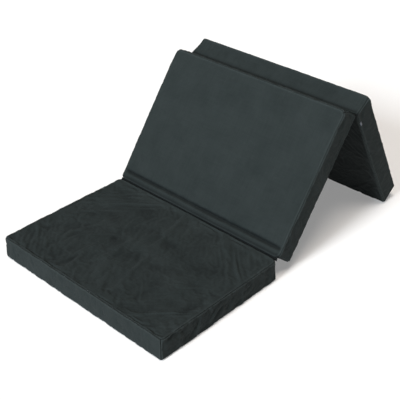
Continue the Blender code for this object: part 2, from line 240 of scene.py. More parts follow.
# %% [markdown]
# ## Canvas for the cover
#
# The cover is a plain-woven polyester and cotton canvas, dyed charcoal with a cool, slightly green cast.
# Woven cloth is matt: light is spread by thousands of round threads, so the roughness is high and the only
# gloss is a faint sheen at grazing angles. What the eye gets from it is small: the grid of the weave, long
# thicker threads called slubs, a little unevenness in the dye, and the seams: their lips rub paler, and
# the groove between them is painted dark, for the shade in it along with some dust. One attribute carries
# both: it is above nothing where the cloth is rubbed and below nothing where shade is painted in.
#
# Every cloth piece carries its own map, an attribute that gives each point's place on the flat cut cloth
# in metres, so the weave follows the cloth round every fold. Real threads here are about 0.5 mm apart.
# That can't be seen from across a room, so the weave is drawn with threads 1.2 mm apart.

# %% Woven canvas, dyed charcoal
CLOTH_MAP = "cloth_map"
WEAR_AND_SHADE_MAP = "seam_wear_and_painted_shade"
THREAD_PITCH = 1.2 * MM
SLUB_CELLS = ((260.0, 14.0, 1.0), (14.0, 260.0, 1.0))  # noise cells in a metre, for slubs along each way
SLUB_HEIGHT = 0.10 * MM
DYE_CELLS = 9.0
CRUMPLE_CELLS = 38.0
SHADE_SHARE = 0.8  # how far the painted shade draws a fully shaded place towards near black


def woven_cloth(name, light, dark, worn, weave_height, crumple_height, **plain):
    """A plain-woven cloth: its two dye tones, the tone of its worn edges and the height of its relief."""
    cloth, tree, shader = new_finish(name, **plain)
    place = add_node(tree, "ShaderNodeAttribute", {}, attribute_name=CLOTH_MAP).outputs["Vector"]
    wear_and_shade = add_node(tree, "ShaderNodeAttribute", {}, attribute_name=WEAR_AND_SHADE_MAP).outputs["Fac"]

    # Weave: one wave across the warp times one across the weft makes a chequer of thread tops.
    turns = add_node(tree, "ShaderNodeVectorMath", {
        0: place, "Scale": math.pi / THREAD_PITCH}, operation="SCALE")
    waves = add_node(tree, "ShaderNodeVectorMath", {0: turns.outputs["Vector"]}, operation="SINE")
    parts = add_node(tree, "ShaderNodeSeparateXYZ", {0: waves.outputs["Vector"]})
    weave = maths(tree, "MULTIPLY", parts.outputs["X"], parts.outputs["Y"])

    # Slubs: noise stretched along the threads, a few millimetres wide and many centimetres long.
    slubs = []
    for stretch in SLUB_CELLS:
        along = add_node(tree, "ShaderNodeVectorMath", {0: place, 1: stretch}, operation="MULTIPLY")
        slubs.append(add_node(tree, "ShaderNodeTexNoise", {
            "Vector": along.outputs["Vector"], "Scale": 1.0, "Detail": 2.0}).outputs["Fac"])
    slub = maths(tree, "ADD", *slubs)

    # Dye: cloudy patches about a hand wide, with smaller ones inside them.
    dye = add_node(tree, "ShaderNodeTexNoise", {
        "Vector": place, "Scale": DYE_CELLS, "Detail": 4.0, "Roughness": 0.6})
    tone = maths(tree, "ADD", dye.outputs["Fac"], maths(tree, "MULTIPLY_ADD", slub, 0.5, -0.25))
    spread = add_node(tree, "ShaderNodeMapRange", {"Value": tone, "From Min": 0.45, "From Max": 1.05})
    ground = mixed(tree, spread.outputs["Result"], linear(dark), linear(light))
    rubbed = mixed(tree, maths(tree, "MULTIPLY", wear_and_shade, slubs[0]), ground, linear(worn))
    # Painted shade: where the attribute is below nothing, the colour is drawn towards near black.
    colour = mixed(tree, maths(tree, "MULTIPLY", wear_and_shade, -SHADE_SHARE), rubbed, linear("#08090a"))
    tree.links.new(colour, shader.inputs["Base Color"])

    # Relief in metres: thread tops, slubs, and a faint crumple too small to be worth real geometry.
    crumple = add_node(tree, "ShaderNodeTexNoise", {"Vector": place, "Scale": CRUMPLE_CELLS, "Detail": 3.0})
    relief = 0.0
    heights = ((weave, weave_height), (slub, SLUB_HEIGHT), (crumple.outputs["Fac"], crumple_height))
    for source, height in heights:
        relief = maths(tree, "MULTIPLY_ADD", source, height, relief)
    bump = add_node(tree, "ShaderNodeBump", {"Height": relief, "Distance": 1.0, "Strength": 1.0})
    tree.links.new(bump.outputs["Normal"], shader.inputs["Normal"])
    dryness = add_node(tree, "ShaderNodeMapRange", {"Value": slubs[1], "To Min": 0.78, "To Max": 0.95})
    tree.links.new(dryness.outputs["Result"], shader.inputs["Roughness"])
    return cloth


canvas = woven_cloth(
    "woven_charcoal_canvas", "#2b3131", "#232929", "#394040", 0.10 * MM, 1.5 * MM,
    IOR=1.45, Sheen_Weight=0.02, Sheen_Roughness=0.5, Specular_IOR_Level=0.08)
print("canvas: thread pitch drawn as", THREAD_PITCH / MM, "mm")

# %% [markdown]
# ## The cover of one block, as a grid of threads
#
# Each block's cover is six flat panels sewn into a box. A box cut by straight lines in all three
# directions gives a grid on its surface that is shared along the edges. So neighbouring panels meet
# exactly at their seam, every point knows its place on the flat cloth, and the edges can be made denser
# where the seams need detail. A remeshed blob would lose all three.

# %% A box surface cut by lines, with rounded edges
FACES = {  # the two directions of each face, the third one and its end, and whether its quads are turned over
    "top": (0, 1, 2, -1, False), "bottom": (0, 1, 2, 0, True), "near": (0, 2, 1, 0, False),
    "far": (0, 2, 1, -1, True), "right": (1, 2, 0, -1, False), "left": (1, 2, 0, 0, True),
}
EDGE_RADIUS = 8 * MM


def lattice(cuts):
    """The points on the surface of a box cut by lines, and each face's grid of point numbers."""
    steps = np.indices([len(cut) for cut in cuts])
    skin = np.zeros(steps.shape[1:], bool)
    for axis, cut in enumerate(cuts):
        skin |= (steps[axis] == 0) | (steps[axis] == len(cut) - 1)
    number = np.full(skin.shape, -1)
    number[skin] = np.arange(skin.sum())
    points = np.stack([cut[steps[axis][skin]] for axis, cut in enumerate(cuts)], axis=1)
    return points, {name: number.take(face[3], axis=face[2]) for name, face in FACES.items()}


def quads(grid, turned):
    """The four-sided faces of a grid of point numbers."""
    corners = [grid[:-1, :-1], grid[1:, :-1], grid[1:, 1:], grid[:-1, 1:]]
    faces = np.stack(corners, axis=-1).reshape(-1, 4)
    return faces[:, ::-1] if turned else faces


def rounded(points, low, high, radius):
    """The points moved onto a box with rounded edges, and the way out from each."""
    radius = np.reshape(radius, (-1, 1))
    core = np.clip(points, low + radius, high - radius)
    out = points - core
    out /= np.linalg.norm(out, axis=1)[:, None]
    return core + radius * out, out


def smoothstep(x):
    x = np.clip(x, 0, 1)
    return x * x * (3 - 2 * x)


def bell(x):
    """A smooth bump: 1 at 0, about a third at 1 and next to nothing beyond 2."""
    return np.exp(-(x ** 2))


BLOCK_LOW = np.array((-HALF_WIDTH, 0, 0))
BLOCK_HIGH = np.array((HALF_WIDTH, LENGTH, THICKNESS))
print("a face runs along two of", dict(zip("xuv", np.round(BLOCK_HIGH - BLOCK_LOW, 3))))

# %% [markdown]
# ## Letting the cloth find its folds
#
# A real cover is cut a little larger than its foam, and its spare cloth has to go somewhere: it buckles
# into folds that fan out from the corners and run in from the seams. Blender's cloth simulation finds such
# folds by itself. The cloth starts with 2% too much length, its seams are pinned, a foam block inside
# stops it, and a gentle suction stands in for the pull of the cloth against the foam. Twenty frames of it
# are enough. Faint waves on the starting shape, different for each block, decide where folds begin.
#
# The simulation runs on a coarse grid with 8 mm cells. Its moves are then read off as a smooth field and
# laid on a finer grid, so the mesh that is kept has smooth folds and sharp seams.

# %% Simulate one block's cover
COARSE_CELL = 8 * MM
FOAM_INSET = 4 * MM
SIM_FRAMES = 20
SPARE_CLOTH = 0.02
SUCTION = 2.0


def waves(points, seed, shortest, longest, count=60):
    """A smooth random height at each point, made of sine waves in random directions, about 1 high."""
    rng = np.random.default_rng(seed)
    height = np.zeros(len(points))
    for _ in range(count):
        direction = rng.normal(size=3)
        direction *= 2 * math.pi / (np.linalg.norm(direction) * rng.uniform(shortest, longest))
        height += np.sin(points @ direction + rng.uniform(0, 2 * math.pi))
    return height / math.sqrt(count / 2)


def new_mesh_object(name, points, faces):
    """A mesh of the points and faces, in the scene."""
    mesh = bpy.data.meshes.new(name)
    mesh.from_pydata(points.tolist(), [], faces if isinstance(faces, list) else faces.tolist())
    obj = bpy.data.objects.new(name, mesh)
    scene.collection.objects.link(obj)
    return obj


def all_quads(grids):
    """The faces of a whole box."""
    return np.concatenate([quads(grids[name], face[4]) for name, face in FACES.items()])


def even_cuts(low, high, cell):
    """For each direction, even lines about a cell apart."""
    return [np.linspace(a, b, round((b - a) / cell) + 1) for a, b in zip(low, high)]


def simulate_cover(seed):
    """How far each point of the coarse grid moves as the loose cover settles on its foam."""
    cuts = even_cuts(BLOCK_LOW, BLOCK_HIGH, COARSE_CELL)
    flat, grids = lattice(cuts)
    start, out = rounded(flat, BLOCK_LOW, BLOCK_HIGH, EDGE_RADIUS)
    start += out * waves(flat, seed, 50 * MM, 200 * MM)[:, None] * MM
    cloth = new_mesh_object("cover_in_simulation", start, all_quads(grids))

    low, high = BLOCK_LOW + FOAM_INSET, BLOCK_HIGH - FOAM_INSET
    foam_flat, foam_grids = lattice(even_cuts(low, high, 4 * COARSE_CELL))
    foam_points = rounded(foam_flat, low, high, 1.5 * EDGE_RADIUS)[0]
    foam = new_mesh_object("foam_in_simulation", foam_points, all_quads(foam_grids))
    foam.modifiers.new("stops the cloth", "COLLISION")
    foam.collision.thickness_outer = 1 * MM

    at_ends = (np.isclose(flat, BLOCK_LOW) | np.isclose(flat, BLOCK_HIGH)).sum(axis=1)
    seams = cloth.vertex_groups.new(name="seams")
    seams.add(np.nonzero(at_ends >= 2)[0].tolist(), 1.0, "ADD")

    modifier = cloth.modifiers.new("cloth", "CLOTH")
    settings = modifier.settings
    settings.quality = 5
    settings.mass = 0.3
    settings.tension_stiffness = settings.compression_stiffness = 15
    settings.shear_stiffness = 5
    settings.bending_stiffness = 0.1
    settings.air_damping = 3
    settings.shrink_min = -SPARE_CLOTH
    settings.use_pressure = True
    settings.uniform_pressure_force = -SUCTION
    settings.effector_weights.gravity = 0
    settings.vertex_group_mass = "seams"
    modifier.collision_settings.distance_min = 2 * MM
    modifier.point_cache.frame_end = SIM_FRAMES
    for number in range(1, SIM_FRAMES + 1):
        scene.frame_set(number)
    result = cloth.evaluated_get(bpy.context.evaluated_depsgraph_get())
    moved = np.zeros(start.size, np.float32)
    result.data.vertices.foreach_get("co", moved)
    for obj in (cloth, foam):
        mesh = obj.data
        bpy.data.objects.remove(obj)
        bpy.data.meshes.remove(mesh)
    scene.frame_set(1)
    return {"cuts": cuts, "grids": grids, "moves": moved.reshape(-1, 3) - start}


SEEDS = {"seat": 3, "backrest": 8, "support": 21}
simulations = {name: simulate_cover(seed) for name, seed in SEEDS.items()}
for name, result in simulations.items():
    print(name, "largest move in mm:", np.round(np.abs(result["moves"]).max(0) / MM, 1))

# %% [markdown]
# ## The fine grid
#
# The kept grid has cells of about 4 mm, and closer lines beside every seam and beside the zip's opening.
# To read the coarse moves on it, each fine line needs a weighted mix of the four nearest coarse lines.
# Catmull-Rom weights give a curve without corners that passes through every coarse value. At a seam the
# mix is the seam's own line alone, so both panels agree there.

# %% Cut lines, and reading the coarse moves on them
FINE_CELL = 4 * MM
BESIDE_SEAM = (1.2 * MM, 2.4 * MM, 3.8 * MM, 5.6 * MM, 8 * MM)
ZIP_OPENING = 12 * MM
ZIP_EDGES = (THICKNESS / 2 - ZIP_OPENING / 2, THICKNESS / 2 + ZIP_OPENING / 2)


def fine_cuts(low, high, extra=()):
    """Even lines from low to high, with closer ones beside both ends, and some that must be there."""
    kept = [low, high, *extra]
    for step in BESIDE_SEAM:
        kept += [low + step, high - step]
        kept += [edge + side * step for edge, side in zip(extra, (-1, 1)) if step < 4 * MM]
    for line in np.linspace(low, high, round((high - low) / FINE_CELL) + 1):
        if min(abs(line - other) for other in kept) > 0.4 * FINE_CELL:
            kept.append(line)
    return np.array(sorted(kept))


def mix_weights(old, new):
    """Catmull-Rom weights that read values at even places old at the places new."""
    weights = np.zeros((len(new), len(old)))
    for row, place in enumerate((new - old[0]) / (old[1] - old[0])):
        first = min(int(place), len(old) - 2)
        t = place - first
        mix = (-t + 2 * t**2 - t**3, 2 - 5 * t**2 + 3 * t**3, t + 4 * t**2 - 3 * t**3, t**3 - t**2)
        for step, weight in enumerate(mix):
            weights[row, np.clip(first - 1 + step, 0, len(old) - 1)] += weight / 2
    return weights


CUTS = [fine_cuts(-HALF_WIDTH, HALF_WIDTH), fine_cuts(0, LENGTH), fine_cuts(0, THICKNESS, ZIP_EDGES)]
FLAT, GRIDS = lattice(CUTS)
print("fine grid:", [len(cut) for cut in CUTS], "lines,", len(FLAT), "points")

# %% [markdown]
# ## Folds given one by one
#
# The simulation gives the general crumple, but some folds belong to this very object: the fan of slanting
# folds on the seat's right border, the furrow above the hinge where the backrest's cloth gathers, the
# short crease at its left edge. Each is one bowed stroke on the flat panel: a valley with a soft ridge
# beside it, deepest in the middle and fading at both ends. The places are in millimetres on the panel.

# %% The listed folds of each panel
RIDGE_HEIGHT = 0.55  # next to a valley 1 deep
RIDGE_AWAY, RIDGE_WIDTH = 1.9, 1.3  # in halves of the valley's width
FADING_SHARE = 0.35  # of a fold's length, at each end
# Each stroke: start, end, sideways bow, width and depth, all in mm. A negative depth makes a ridge.
FOLDS = {
    ("seat", "top"): (
        ((-268, 20), (-278, 190), 6, 26, 1.6), ((-150, 12), (-124, 180), 8, 22, 2.0),
        ((0, 60), (24, 260), -8, 26, 1.6), ((208, 30), (222, 205), 8, 26, 1.8),
        ((315, 10), (398, 70), -8, 22, 1.6), ((-216, 182), (-140, 195), 6, 24, 1.2),
        ((396, 60), (432, 480), 16, 26, 1.8), ((-184, 320), (-50, 415), 14, 40, 1.4),
        ((90, 20), (70, 110), -6, 20, 1.2), ((-390, 60), (-330, 260), 18, 34, 1.4),
    ),
    ("seat", "near"): (
        ((-300, 86), (-240, 40), 6, 22, 2.0), ((-98, 84), (-28, 34), 8, 22, 2.6),
        ((128, 84), (166, 14), -6, 20, 2.4), ((206, 56), (286, 18), 6, 24, 2.4),
        ((300, 70), (360, 14), 6, 20, 2.0), ((-190, 70), (-150, 10), 6, 22, 2.0),
        ((20, 60), (70, 12), 5, 20, 1.8), ((-400, 78), (-340, 30), 6, 22, 1.6),
    ),
    ("seat", "right"): (
        ((326, 66), (222, 10), 8, 17, 4.2), ((202, 82), (124, 10), 8, 16, 4.2),
        ((282, 90), (228, 36), 8, 13, 3.6), ((384, 92), (322, 24), 10, 16, 4.0),
        ((500, 72), (410, 56), 6, 16, 3.0), ((136, 64), (16, 72), -6, 13, 3.2),
        ((90, 90), (12, 84), 4, 9, 2.2), ((250, 30), (176, 6), 5, 13, 3.0),
        ((160, 50), (90, 30), 6, 14, 3.0), ((440, 40), (380, 12), 6, 16, 2.6),
        ((590, 80), (540, 24), 8, 20, 2.2),
    ),
    ("backrest", "top"): (
        ((1100, 38), (-1100, 38), 0, 18, 13.0), ((-430, 345), (-232, 321), 5, 14, 2.4),
        ((-390, 580), (-310, 520), 6, 24, 1.2), ((-116, 580), (-84, 470), 8, 26, 1.2),
    ),
    ("backrest", "right"): (
        ((612, 84), (540, 66), 6, 12, 3.2), ((622, 74), (612, 26), 4, 12, 3.4),
        ((96, 88), (200, 66), 8, 14, 3.0), ((60, 84), (28, 20), 6, 14, 3.4),
        ((420, 80), (330, 40), 8, 20, 1.8),
    ),
    ("support", "near"): (
        ((-424, 12), (-394, 66), 5, 12, 3.0), ((-380, 84), (-372, 30), 4, 12, 2.4),
        ((-346, 20), (-350, 78), 5, 12, 3.0), ((-300, 30), (-318, 84), 4, 12, 2.2),
        ((-264, 30), (-276, 86), 5, 14, 2.6), ((-206, 80), (-148, 38), 6, 16, 2.2),
        ((-143, 80), (-74, 32), 6, 18, 2.0), ((0, 82), (60, 70), 4, 18, 1.4),
        ((300, 82), (350, 20), 6, 22, 1.4),
    ),
    ("support", "right"): (
        ((16, 30), (60, 12), 5, 12, 2.6), ((40, 88), (120, 60), 8, 16, 2.0),
        ((290, 88), (250, 60), 6, 18, 2.2), ((480, 84), (380, 24), 10, 24, 2.0),
    ),
}


def fold_height(a, b, start, end, bow, width, depth):
    """The height of one fold at the places a, b of a panel."""
    start, end = np.array(start) * MM, np.array(end) * MM
    along = end - start
    reach = np.linalg.norm(along)
    along /= reach
    forward = (a - start[0]) * along[0] + (b - start[1]) * along[1]
    aside = (b - start[1]) * along[0] - (a - start[0]) * along[1]
    t = forward / reach
    aside = aside - 4 * bow * MM * t * (1 - t)
    half = width * MM / 2
    ridge = RIDGE_HEIGHT * bell((aside - RIDGE_AWAY * half) / (RIDGE_WIDTH * half))
    fade = smoothstep(t / FADING_SHARE) * smoothstep((1 - t) / FADING_SHARE)
    return depth * MM * fade * (ridge - bell(aside / half))


print("hand-set folds:", sum(len(strokes) for strokes in FOLDS.values()))

# %% [markdown]
# ## From grid to cover
#
# The finished shape of a cover is the rounded box plus four kinds of height, all measured outwards:
# the simulated crumple, the listed folds, the seams, and small puckers where the thread gathers the
# cloth. A seam is a thin groove with a soft lip on each side. The folds fade out towards the seams, which
# hold the cloth flat.
#
# Three limits keep the cover true to the frame. Cloth that lies on the floor stays just above it, and the
# faces that fold against each other stand out by less than half a millimetre. The end borders bulge by
# less than half the gap to the next block. And the left border is set back, because the zip and its pull lie
# there, out of harm's way.
#
# Shade is painted into the cloth's colour: in the seam grooves, along with some dust, in deep furrows and by
# the hinges, and on the undersides of the backrest and the support, which face the shaded space under the
# chair.

# %% How the covers are shaped
CRUMPLE = {  # how much of the simulated folds each face keeps
    "seat": dict(top=1.0, bottom=0.3, near=0.8, far=0.8, right=1.0, left=0.8),
    "backrest": dict(top=0.4, bottom=0.8, near=0.8, far=0.7, right=0.7, left=0.8),
    "support": dict(top=0.7, bottom=0.8, near=0.7, far=0.8, right=0.7, left=0.8),
}
CEILINGS = {  # how far each face may bulge
    "top": 0.25 * MM, "bottom": 0.25 * MM, "near": 1.5 * MM, "far": 1.5 * MM, "left": 2 * MM,
}
END_PULLS = {  # from where to where along the block the upper side is pulled, how far along and how far up
    "backrest": (LENGTH - 90 * MM, LENGTH, -6 * MM, -5 * MM),
    "support": (90 * MM, 0, -5 * MM, 5 * MM),
}
FOLD_LIMITS = {  # how low and how high the cloth may lie, so that folded blocks and the floor stay clear
    "seat": (0.3 * MM, THICKNESS + 0.4 * MM),
    "backrest": (-0.4 * MM, THICKNESS + 0.4 * MM),
    "support": (-0.4 * MM, THICKNESS + 3 * MM),
}
HINGE_EDGES = {  # where along the block and how high each edge lies that carries a hinge
    "seat": ((LENGTH, THICKNESS),), "backrest": ((0, THICKNESS), (LENGTH, 0)), "support": ((0, 0),),
}
HINGE_SHADE_REACH = {"seat": 6 * MM, "backrest": 15 * MM, "support": 15 * MM}  # how far the painted shade by a hinge spreads
UNDERSIDE_SHADE = {"seat": 0, "backrest": 0.55, "support": 0.55}  # how much painted shade darkens the undersides
FLUSH_SHARE = 0.96  # this share of a top or bottom panel lies below its edges
EDGE_SLOPE = 45 * MM  # from a seam to where the panel is fully sunk
FOLD_FADE_IN, FADE_IN_PER_DEPTH = 7 * MM, 2.2  # the folds keep this far from the seams, deep ones further
TIGHT_RADIUS, TIGHT_REACH = 2 * MM, 20 * MM  # of the edges that carry a hinge
SEAM_ROLL = {"seat": 7 * MM}  # how far the near upper seam has rolled back onto the top
ROLL_REACH, ROLL_FROM_CORNER, ROLL_END = 16 * MM, 25 * MM, 60 * MM
SIDE_SHARE = 0.4  # the share of the thickness that counts as the lower or the upper side
CORNER_TUCK, TUCK_REACH = 2 * MM, 60 * MM
LEFT_CORNER_RADII = (12 * MM, 22 * MM)  # at the bottom and at the top
RIGHT_CORNER_RADII = (5 * MM, 27 * MM)
GROOVE_DEPTH = GROOVE_WIDTH = 1.8 * MM
LIP_AWAY, LIP_HEIGHT, LIP_WIDTH = 5 * MM, 0.9 * MM, 2.6 * MM  # the lips beside each seam
PUCKER_HEIGHT, PUCKER_REACH = 0.45 * MM, 14 * MM
PUCKER_LENGTHS = (16 * MM, 42 * MM)
RUB_WIDTH = 3 * MM
FURROW_SHADE, FURROW_DEPTHS = 0.75, (3 * MM, 11 * MM)  # how dark the painted shade of a deep furrow is, and from what depth to what depth it sets in
HINGE_SHADE = 1.2
ZIP_RECESS = HALF_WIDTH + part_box("seat_lower_zip_border")[0].x
ZIP_LIP_AWAY, ZIP_LIP_HEIGHT, ZIP_LIP_WIDTH = 2 * MM, 0.7 * MM, 1.6 * MM  # the hems beside the zip
ZIP_FADES = (14 * MM, 30 * MM, 13 * MM)  # past the hem, from the block's ends and from the long seams
print("the zip lies", round(ZIP_RECESS / MM, 1), "mm inside the left edge")


# %% The shape of one block's cover
def distance_to_seam(name):
    """For each grid place of a face, its distance from the nearest of the face's four edges."""
    first, second = (CUTS[axis] for axis in FACES[name][:2])
    a = np.minimum(first - first[0], first[-1] - first)
    b = np.minimum(second - second[0], second[-1] - second)
    return np.minimum(a[:, None], b[None, :])


def soft_ceiling(height, limit):
    """Heights below the limit stay, and those above it flatten out just over it."""
    over = height > 0
    return np.where(over, limit * np.tanh(height / limit), height)


def to_hinge_edges(block):
    """How far each point lies from each of the block's edges that carry a hinge."""
    return [np.hypot(FLAT[:, 1] - end_u, FLAT[:, 2] - height) for end_u, height in HINGE_EDGES[block]]


def edge_radius(block):
    """How round the block is near each point: as usual, but tight at the edges that the hinges pull on."""
    radius = np.full(len(FLAT), EDGE_RADIUS)
    for away in to_hinge_edges(block):
        radius -= (EDGE_RADIUS - TIGHT_RADIUS) * bell(away / TIGHT_REACH)
    return radius


def rolled_seam(flat, block):
    """Flat places after the block's near upper seam has rolled up and back onto the top panel."""
    roll = SEAM_ROLL.get(block, 0) * smoothstep((HALF_WIDTH - np.abs(flat[:, 0])) / ROLL_FROM_CORNER)
    on_near, on_top = flat[:, 1] == 0, flat[:, 2] == THICKNESS
    past_seam = np.where(on_top, flat[:, 1], flat[:, 2] - THICKNESS)
    past_seam = past_seam + roll * bell(past_seam / ROLL_REACH)
    flat = flat.copy()
    touched = on_near | (on_top & (flat[:, 1] < ROLL_END))
    flat[touched, 1] = np.maximum(past_seam, 0)[touched]
    flat[touched, 2] = THICKNESS + np.minimum(past_seam, 0)[touched]
    return flat


def turned_corners(points):
    """The upright corners rounded in plan: squares round each corner's centre become circles."""
    up = np.clip(points[:, 2] / THICKNESS, 0, 1)
    left, right = (np.interp(up, (0, 1), radii) for radii in (LEFT_CORNER_RADII, RIGHT_CORNER_RADII))
    radius = np.where(points[:, 0] < 0, left, right)
    centre_x = np.clip(points[:, 0], radius - HALF_WIDTH, HALF_WIDTH - radius)
    centre_u = np.clip(points[:, 1], radius, LENGTH - radius)
    aside, ahead = points[:, 0] - centre_x, points[:, 1] - centre_u
    square = np.maximum(np.abs(aside), np.abs(ahead))
    circle = np.maximum(np.hypot(aside, ahead), 1e-9)
    points = points.copy()
    points[:, 0] = centre_x + aside * square / circle
    points[:, 1] = centre_u + ahead * square / circle
    return points


def settled(points, block):
    """Points after the whole block has settled: corners tucked in, and pulled where the hinge pulls it."""
    points = turned_corners(points)
    to_end = np.minimum(points[:, 1], LENGTH - points[:, 1])
    tuck = CORNER_TUCK * bell(np.hypot(HALF_WIDTH - np.abs(points[:, 0]), to_end) / TUCK_REACH)
    up = points[:, 2] / THICKNESS
    lower, upper = (smoothstep((SIDE_SHARE - share) / SIDE_SHARE) for share in (up, 1 - up))
    points[:, 2] += tuck * (lower - 0.5 * upper)
    if block in END_PULLS:
        low_u, high_u, slide, lift = END_PULLS[block]
        share = smoothstep((points[:, 1] - low_u) / (high_u - low_u)) * upper
        points[:, 1] += share * slide
        points[:, 2] += share * lift
    return points


def simulated_moves(block, name):
    """The simulated moves on a face's fine grid, as much of them as the face keeps."""
    if block not in simulations:
        return np.zeros((*GRIDS[name].shape, 3))
    result = simulations[block]
    rows, columns = (mix_weights(result["cuts"][axis], CUTS[axis]) for axis in FACES[name][:2])
    coarse = result["moves"][result["grids"][name]]
    return np.einsum("ij,jkc,lk->ilc", rows, coarse, columns) * CRUMPLE[block][name]


def beside_zip(height, a, b):
    """The left border's heights, set back round the zip and with a hem on each side of its opening."""
    past_hem = np.abs(b - THICKNESS / 2) - ZIP_OPENING / 2 - ZIP_LIP_AWAY
    hem_reach, end_reach, seam_reach = ZIP_FADES
    height = height * smoothstep(past_hem / hem_reach)
    ends_fade = smoothstep(np.minimum(a, LENGTH - a) / end_reach)
    height = height - ZIP_RECESS * ends_fade * smoothstep(np.minimum(b, THICKNESS - b) / seam_reach)
    return height + ZIP_LIP_HEIGHT * bell(past_hem / ZIP_LIP_WIDTH)


def face_height(block, name, height, away):
    """The outward heights of a face: the simulated ones given, with the listed folds, within limits."""
    a, b = np.meshgrid(*(CUTS[axis] for axis in FACES[name][:2]), indexing="ij")
    for stroke in FOLDS.get((block, name), ()):
        fade_in = max(FOLD_FADE_IN, FADE_IN_PER_DEPTH * stroke[-1] * MM)
        height = height + fold_height(a, b, *stroke) * smoothstep(away / fade_in)
    if name in ("top", "bottom"):
        height = height - np.quantile(height, FLUSH_SHARE) * smoothstep(away / EDGE_SLOPE)
    if name in CEILINGS:
        height = soft_ceiling(height, CEILINGS[name])
    return beside_zip(height, a, b) if name == "left" else height


def wear_and_shade_of_cloth(block, seam_away, sunk):
    """How rubbed the cloth is at each point, or below nothing, how much shade is painted into its colour."""
    # The seam lips are rubbed paler; the seam groove gets painted shade, along with some dust.
    wear_and_shade = bell((seam_away - LIP_AWAY) / RUB_WIDTH) - bell(seam_away / GROOVE_WIDTH)
    shallow, deep = FURROW_DEPTHS
    # Painted shade in deep furrows, growing with their depth.
    wear_and_shade -= FURROW_SHADE * smoothstep((sunk - shallow) / (deep - shallow))
    # Painted shade along the edges that carry a hinge, where the crease lies in shadow.
    for away in to_hinge_edges(block):
        wear_and_shade -= HINGE_SHADE * bell(away / HINGE_SHADE_REACH[block])
    # Painted shade on the undersides, which face the shaded space under the chair.
    wear_and_shade -= UNDERSIDE_SHADE[block] * smoothstep((seam_away - 1 * MM) / (6 * MM)) * (FLAT[:, 2] == 0)
    return np.maximum(wear_and_shade, -1)


def shape_cover(block):
    """The points of one block's cover in its own coordinates, and at each how rubbed the cloth is or how much
    shade is painted in.
    """
    points, out = rounded(rolled_seam(FLAT, block), BLOCK_LOW, BLOCK_HIGH, edge_radius(block))
    moves = np.zeros_like(points)
    seam_away = np.full(len(points), 1.0)
    sunk = np.zeros(len(points))
    for name, (_, _, third, end, _) in FACES.items():
        grid = GRIDS[name]
        away = distance_to_seam(name)
        seam_away[grid] = np.minimum(seam_away[grid], away)
        side = -1.0 if end == 0 else 1.0
        move = simulated_moves(block, name)
        height = face_height(block, name, side * move[..., third], away)
        if name in ("top", "bottom"):
            sunk[grid] = np.maximum(sunk[grid], -height)
        move[..., third] = side * height
        moves[grid] = move
    groove = -GROOVE_DEPTH * bell(seam_away / GROOVE_WIDTH)
    lip = LIP_HEIGHT * bell((seam_away - LIP_AWAY) / LIP_WIDTH)
    puckers = waves(FLAT, SEEDS[block] + 100, *PUCKER_LENGTHS) * PUCKER_HEIGHT
    gathered = puckers * np.exp(-seam_away / PUCKER_REACH) * smoothstep((seam_away + 2 * MM) / (6 * MM))
    points = settled(points + moves + out * (groove + lip + gathered)[:, None], block)
    points[:, 2] = np.clip(points[:, 2], *FOLD_LIMITS[block])
    return points, wear_and_shade_of_cloth(block, seam_away, sunk)


shapes = {block: shape_cover(block) for block in PLACES}
for block, (points, _) in shapes.items():
    low, high = np.round(points.min(0) / MM), np.round(points.max(0) / MM)
    print(block, "cover in its own coordinates, mm: from", low, "to", high)

# %% [markdown]
# ## Sewing the panels
#
# Each panel becomes its own object, as it was its own piece of canvas before it was sewn: a top and a
# bottom panel, two end borders, a right border, and a border above and one below the zip. A Solidify
# modifier gives the canvas its thickness, on the inner side. Each panel carries its place on the flat cut
# cloth, and stands for the plain CAD panel of the same name.

# %% One object for each panel
CANVAS_THICKNESS = 0.8 * MM
PANEL_NAMES = {  # the name of the panel on each face, for each block
    "seat": dict(near="seat_front_border", far="seat_rear_border"),
    "backrest": dict(near="backrest_lower_border", far="backrest_upper_border"),
    "support": dict(near="support_upper_border", far="support_lower_border"),
}


def in_place(block, points):
    """Points in a block's coordinates, carried to where the block is. Without a block they stay."""
    matrix = np.array(PLACES.get(block, Matrix.Identity(4)))
    return points @ matrix[:3, :3].T + matrix[:3, 3]


def stand_for(obj, block, node):
    """The piece takes the place of a CAD node and moves with its block."""
    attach(obj, block)
    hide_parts(node)


def cloth_object(name, block, points, grid, turned, cloth_places, wear_and_shade, finish, thickness):
    """A grid of points as a piece of cloth with its map, its rubbing and painted shade, its finish and its
    thickness.
    """
    used, inverse = np.unique(grid, return_inverse=True)
    obj = new_mesh_object(name, in_place(block, points[used]), quads(inverse.reshape(grid.shape), turned))
    mesh = obj.data
    cloth_map = mesh.attributes.new(CLOTH_MAP, "FLOAT_VECTOR", "POINT")
    places = np.zeros((len(used), 3), np.float32)
    places[inverse.ravel()] = cloth_places.reshape(-1, 3)
    cloth_map.data.foreach_set("vector", places.ravel())
    wear_and_shade_attribute = mesh.attributes.new(WEAR_AND_SHADE_MAP, "FLOAT", "POINT")
    wear_and_shade_attribute.data.foreach_set("value", wear_and_shade[used].astype(np.float32))
    mesh.shade_smooth()
    mesh.materials.append(finish)
    modifier = obj.modifiers.new("cloth thickness", "SOLIDIFY")
    modifier.thickness = thickness
    modifier.offset = -1
    return obj


def sew_panel(name, block, face, rows=slice(None), columns=slice(None)):
    """The panel on a face of a block, or the part of it between some of its grid lines."""
    points, wear_and_shade = shapes[block]
    first, second, _, _, turned = FACES[face]
    a, b = CUTS[first][rows], CUTS[second][columns]
    own_shift = 0.37 * (1 + list(FACES).index(face)) + 2.1 * list(PLACES).index(block)
    shift = np.full((len(a), len(b)), own_shift)
    cloth_places = np.stack([*np.meshgrid(a, b, indexing="ij"), shift], axis=-1)
    panel = cloth_object(
        name + "_canvas", block, points, GRIDS[face][rows, columns], turned, cloth_places, wear_and_shade, canvas,
        CANVAS_THICKNESS)
    stand_for(panel, block, name)


